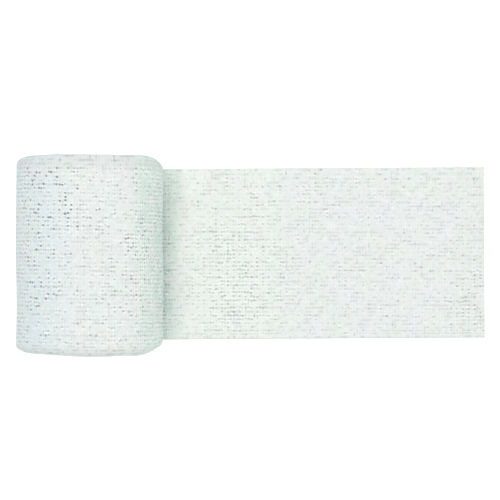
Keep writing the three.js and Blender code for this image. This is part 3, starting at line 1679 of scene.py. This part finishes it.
    def crumb_here(self, plan: FinishPlan, place: bpy.types.NodeSocket) -> Field:
        """Works out how far a point lies on a crumb of plaster, near one of the crossings of the threads.

        Args:
            plan: The material's tree.
            place: The place on the piece, in cells.

        Returns:
            A number from 0, where it lies outside.
        """
        cell = plan.cell(plan.vector("ADD", place, (0.5, 0.5, 0.5)))
        total = plan.below(cell.extra, self.crumb_share)
        total = self.spot(plan, cell, total, self.crumb_wander, self.crumb_reach)
        shown = plan.least(plan.amount("opening") * self.crumb_gain, self.crumb_most)
        return total * (self.crumb_least + shown)

    def make(self) -> bpy.types.Material:
        """Builds the material.

        Returns:
            The material.
        """
        plan = FinishPlan(self.name)
        place, cells = plan.object_place(), plan.stored_place("cell_place")
        blotch, speck, grain = (plan.noise(place, noise) for noise in (self.blotch, self.speck, self.grain))
        opening, block = self.opening_here(plan, cells), self.block(plan, cells)
        white = plan.rise(blotch, self.white_blotch) + plan.rise(speck, self.white_speck)
        white = white + plan.amount("plaster") * self.white_plaster + plan.rise(block, self.white_block)
        white = white + self.crumb_here(plan, cells) * self.white_crumb
        grey = plan.rise(speck, self.grey_speck) + plan.rise(block, self.grey_block)
        # painted shade in the grooves
        grey = grey + plan.amount("groove") * self.painted_groove_shade

        white = plan.math("ADD", white, 0.0, clamp=True)
        colour = plan.mix(white, self.cast(plan, place), solid(self.chalk))
        # Painted shade along the roll's rounded edges
        colour = plan.mix(plan.amount("painted_edge_shade") * self.painted_edge_shade, colour, solid(self.edge_shade_colour))
        # Painted shade in the openings, mixed with random grey specks and the painted shade of the grooves
        shown = plan.least(opening * self.opening_gain, 1.0) * plan.rise(opening, self.opening_shown)
        colour = plan.mix(plan.math("ADD", shown, grey, clamp=True), colour, solid(self.opening))
        twist = plan.noise(plan.stored_place("cloth_place"), self.twist)
        layers = zip((grain, twist, speck, blotch), self.bump_shares)
        height = sum(noise * share for noise, share in layers)
        return plan.dress({
            "Base Color": colour,
            "Roughness": plan.blend(grain, *self.roughness),
            "Specular IOR Level": self.specular,
            "Normal": plan.bump(height, self.bump_strength, self.bump_distance * MM),
        })


@dataclass(frozen=True)
class FloorFinish:
    """Plain white paper under the object, lit evenly."""

    name: str = "studio_floor"
    dark: Colour = (0.86, 0.86, 0.86)
    light: Colour = (0.88, 0.88, 0.88)
    pulp: Noise = Noise(35.0, 3.0)
    roughness: float = 0.95
    specular: float = 0.1
    glow_tint: Colour = (1.0, 1.0, 1.0)
    glow: float = 0.30

    def make(self) -> bpy.types.Material:
        """Builds the material.

        Returns:
            The material.
        """
        plan = FinishPlan(self.name)
        pulp = plan.noise(plan.object_place(), self.pulp)
        return plan.dress({
            "Base Color": plan.mix(pulp, solid(self.dark), solid(self.light)),
            "Roughness": self.roughness,
            "Specular IOR Level": self.specular,
            "Emission Color": solid(self.glow_tint),
            "Emission Strength": self.glow,
        })


@dataclass
class Bandage:
    """The strip of bandage: its inner turns, its outer turn and its loose end. Sizes are in millimetres."""

    finish: PlasterFinish = PlasterFinish()
    loose_gap: float = 0.7
    outer_under_points: int = 20
    loose_under_points: int = 16
    outer_weave: Weave = Weave(
        rows=50,
        columns=160,
        seed=11,
        freedom=Freedom(
            share=0.47,
            gain=0.64,
            run_gain=2.0,
            clump_gain=2.3,
            row_less=0.04,
            filled_edge=5.0,
            patches=(
                Patch(114.0, 28.0, 20.0, 24.0, 0.80),
                Patch(106.0, -16.0, 14.0, 34.0, 0.40),
                Patch(176.0, 0.0, 15.0, 90.0, 0.40, 1.0),
                Patch(90.0, 6.0, 10.0, 80.0, 0.40, 1.0),
                Patch(160.0, 7.0, 11.0, 16.0, 0.34),
            ),
        ),
        openness=Openness(few=0.32, many=0.48, wide_extra=0.34),
        relief=Relief(groove_shade=1.5, groove_less=0.8, crumb_share=0.40),
        sway=Sway(bow=1.09, slips=(Slip(95.0, 215.0, -1.5),)),
        # painted shade along the rounded edges
        painted_edge_shade=5.6,
        grey_lean=0.034,
        narrow=0.08,
    )
    loose_weave: Weave = Weave(
        rows=45,
        columns=126,
        seed=23,
        freedom=Freedom(
            share=0.14,
            gain=1.30,
            run_gain=2.4,
            clump_gain=0.9,
            row_less=0.38,
            pair_less=0.50,
            patches=(
                Patch(29.0, 0.0, 4.0, 90.0, 0.74),
                Patch(72.0, -12.0, 24.0, 42.0, 0.70),
                Patch(111.0, 42.0, 14.0, 10.0, 0.35),
                Patch(206.0, -22.0, 16.0, 26.0, 0.40),
                Patch(198.0, 47.0, 20.0, 9.0, -0.60),
            ),
        ),
        openness=Openness(few=0.25, many=0.47, wide_extra=0.07, least=0.60, spread=0.40),
        # painted shadow where the loose end comes out from under the roll
        relief=Relief(painted_shadow_lines=(28.9,)),
        sway=Sway(slips=(Slip(-60.0, 277.0, -1.5), Slip(104.0, 190.0, -0.7))),
    )

    def build(self) -> list[bpy.types.Object]:
        """Returns:
            The inner turns, the outer turn and the loose end.
        """
        low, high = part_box("roll")
        strip = Strip((high.y - low.y) / MM)
        winding = Winding(strip.width)
        laying = Laying(winding.flat_half)
        inner_length = winding.length(FULL_TURN, winding.last_turned)
        outer_length = winding.length(0.0, FULL_TURN)
        loose_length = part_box("loose_end")[1].x / MM - laying.start - self.loose_gap
        material = self.finish.make()

        inner = WoundTurns(strip, winding).build(material)
        declare(inner, "roll", strip.width, inner_length)
        sheet = GauzeSheet("outer_turn", strip, self.outer_weave, outer_length, self.outer_under_points)
        outer = sheet.build(winding, material)
        declare(outer, "roll", strip.width, outer_length)
        sheet = GauzeSheet("loose_end_cloth", strip, self.loose_weave, loose_length, self.loose_under_points)
        loose = sheet.build(laying, material)
        declare(loose, "loose_end", strip.width, loose_length)
        return [inner, outer, loose]


def declare(piece: bpy.types.Object, node: str, width: float, length: float) -> None:
    """Attaches a stretch of the strip to the root body and hides the solid that it stands for.

    Args:
        piece: The stretch.
        node: The solid that it stands for.
        width: Its flat width, in millimetres. Not used.
        length: Its flat length. Not used.
    """
    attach(piece, "root")
    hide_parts(node)
    width * MM
    length * MM


@dataclass
class Studio:
    """The floor, the soft light and the camera. Distances are in millimetres."""

    camera_x: float = 85.3
    camera_y: float = 2.7
    camera_height: float = 466.0
    camera_near: float = 10.0
    camera_far: float = 20000.0
    lens: float = 57.2
    sensor: float = 36.0
    floor_radius: float = 6000.0
    floor_corners: int = 96
    sky: Colour = (0.90, 1.0, 0.965)
    sky_strength: float = 0.62
    backdrop: Colour = (1.0, 1.0, 1.0)
    panel_tint: Colour = (1.0, 0.975, 0.98)
    panel_toward: tuple[float, float, float] = (0.12, 0.09, 1.0)
    panel_distance: float = 4000.0
    panel_size: float = 3400.0
    panel_power: float = 103.0

    def build(self) -> None:
        """Sets up everything that isn't part of the object."""
        self.add_camera()
        self.add_floor()
        self.add_light()
        scene = bpy.context.scene
        scene.view_settings.view_transform = "Standard"
        scene.view_settings.look = "None"

    def add_camera(self) -> None:
        """Hangs the camera over the object, looking straight down with +Y up in the picture."""
        data = bpy.data.cameras.new("camera")
        data.lens = self.lens
        data.sensor_width = self.sensor
        data.clip_start = self.camera_near * MM
        data.clip_end = self.camera_far * MM
        camera = bpy.data.objects.new("camera", data)
        camera.location = Vector((self.camera_x, self.camera_y, self.camera_height)) * MM
        bpy.context.scene.collection.objects.link(camera)
        bpy.context.scene.camera = camera

    def add_floor(self) -> None:
        """Lays the floor under the object."""
        turns = [FULL_TURN * corner / self.floor_corners for corner in range(self.floor_corners)]
        radius = self.floor_radius * MM
        corners = [(radius * math.cos(turn), radius * math.sin(turn), 0.0) for turn in turns]
        mesh = bpy.data.meshes.new("floor")
        mesh.from_pydata(corners, [], [tuple(range(self.floor_corners))])
        floor = bpy.data.objects.new("floor", mesh)
        mesh.materials.append(FloorFinish().make())
        bpy.context.scene.collection.objects.link(floor)

    def add_light(self) -> None:
        """Lights the object with a pale sky all round and a wide soft panel overhead."""
        world = bpy.data.worlds.new("sky")
        world.use_nodes = True
        plan = Plan(world.node_tree)
        shown = plan.node("ShaderNodeBackground", {"Color": solid(self.backdrop)})
        seen = plan.node("ShaderNodeLightPath", {}).outputs["Is Camera Ray"]
        sky = world.node_tree.nodes["Background"]
        plan.feed(sky.inputs["Color"], solid(self.sky))
        plan.feed(sky.inputs["Strength"], self.sky_strength)
        both = plan.node("ShaderNodeMixShader", {0: seen, 1: sky.outputs[0], 2: shown.outputs[0]})
        plan.feed(world.node_tree.nodes["World Output"].inputs["Surface"], both.outputs[0])
        bpy.context.scene.world = world
        data = bpy.data.lights.new("panel", "AREA")
        data.size = self.panel_size * MM
        data.energy = self.panel_power
        data.color = self.panel_tint
        panel = bpy.data.objects.new("panel", data)
        toward = Vector(self.panel_toward).normalized()
        panel.location = toward * self.panel_distance * MM
        panel.rotation_euler = toward.to_track_quat("Z", "Y").to_euler()
        bpy.context.scene.collection.objects.link(panel)


def main() -> None:
    """Builds the studio and the bandage, and reports each piece."""
    logging.basicConfig(level=logging.INFO, format="%(name)s: %(message)s")
    Studio().build()
    for piece in Bandage().build():
        corners = [vertex.co for vertex in piece.data.vertices]
        lowest = min(corner.z for corner in corners) / MM
        highest = max(corner.z for corner in corners) / MM
        log.info("%s: %d faces, %.2f to %.2f mm high", piece.name, len(piece.data.polygons), lowest, highest)


if __name__ == "__main__":
    main()
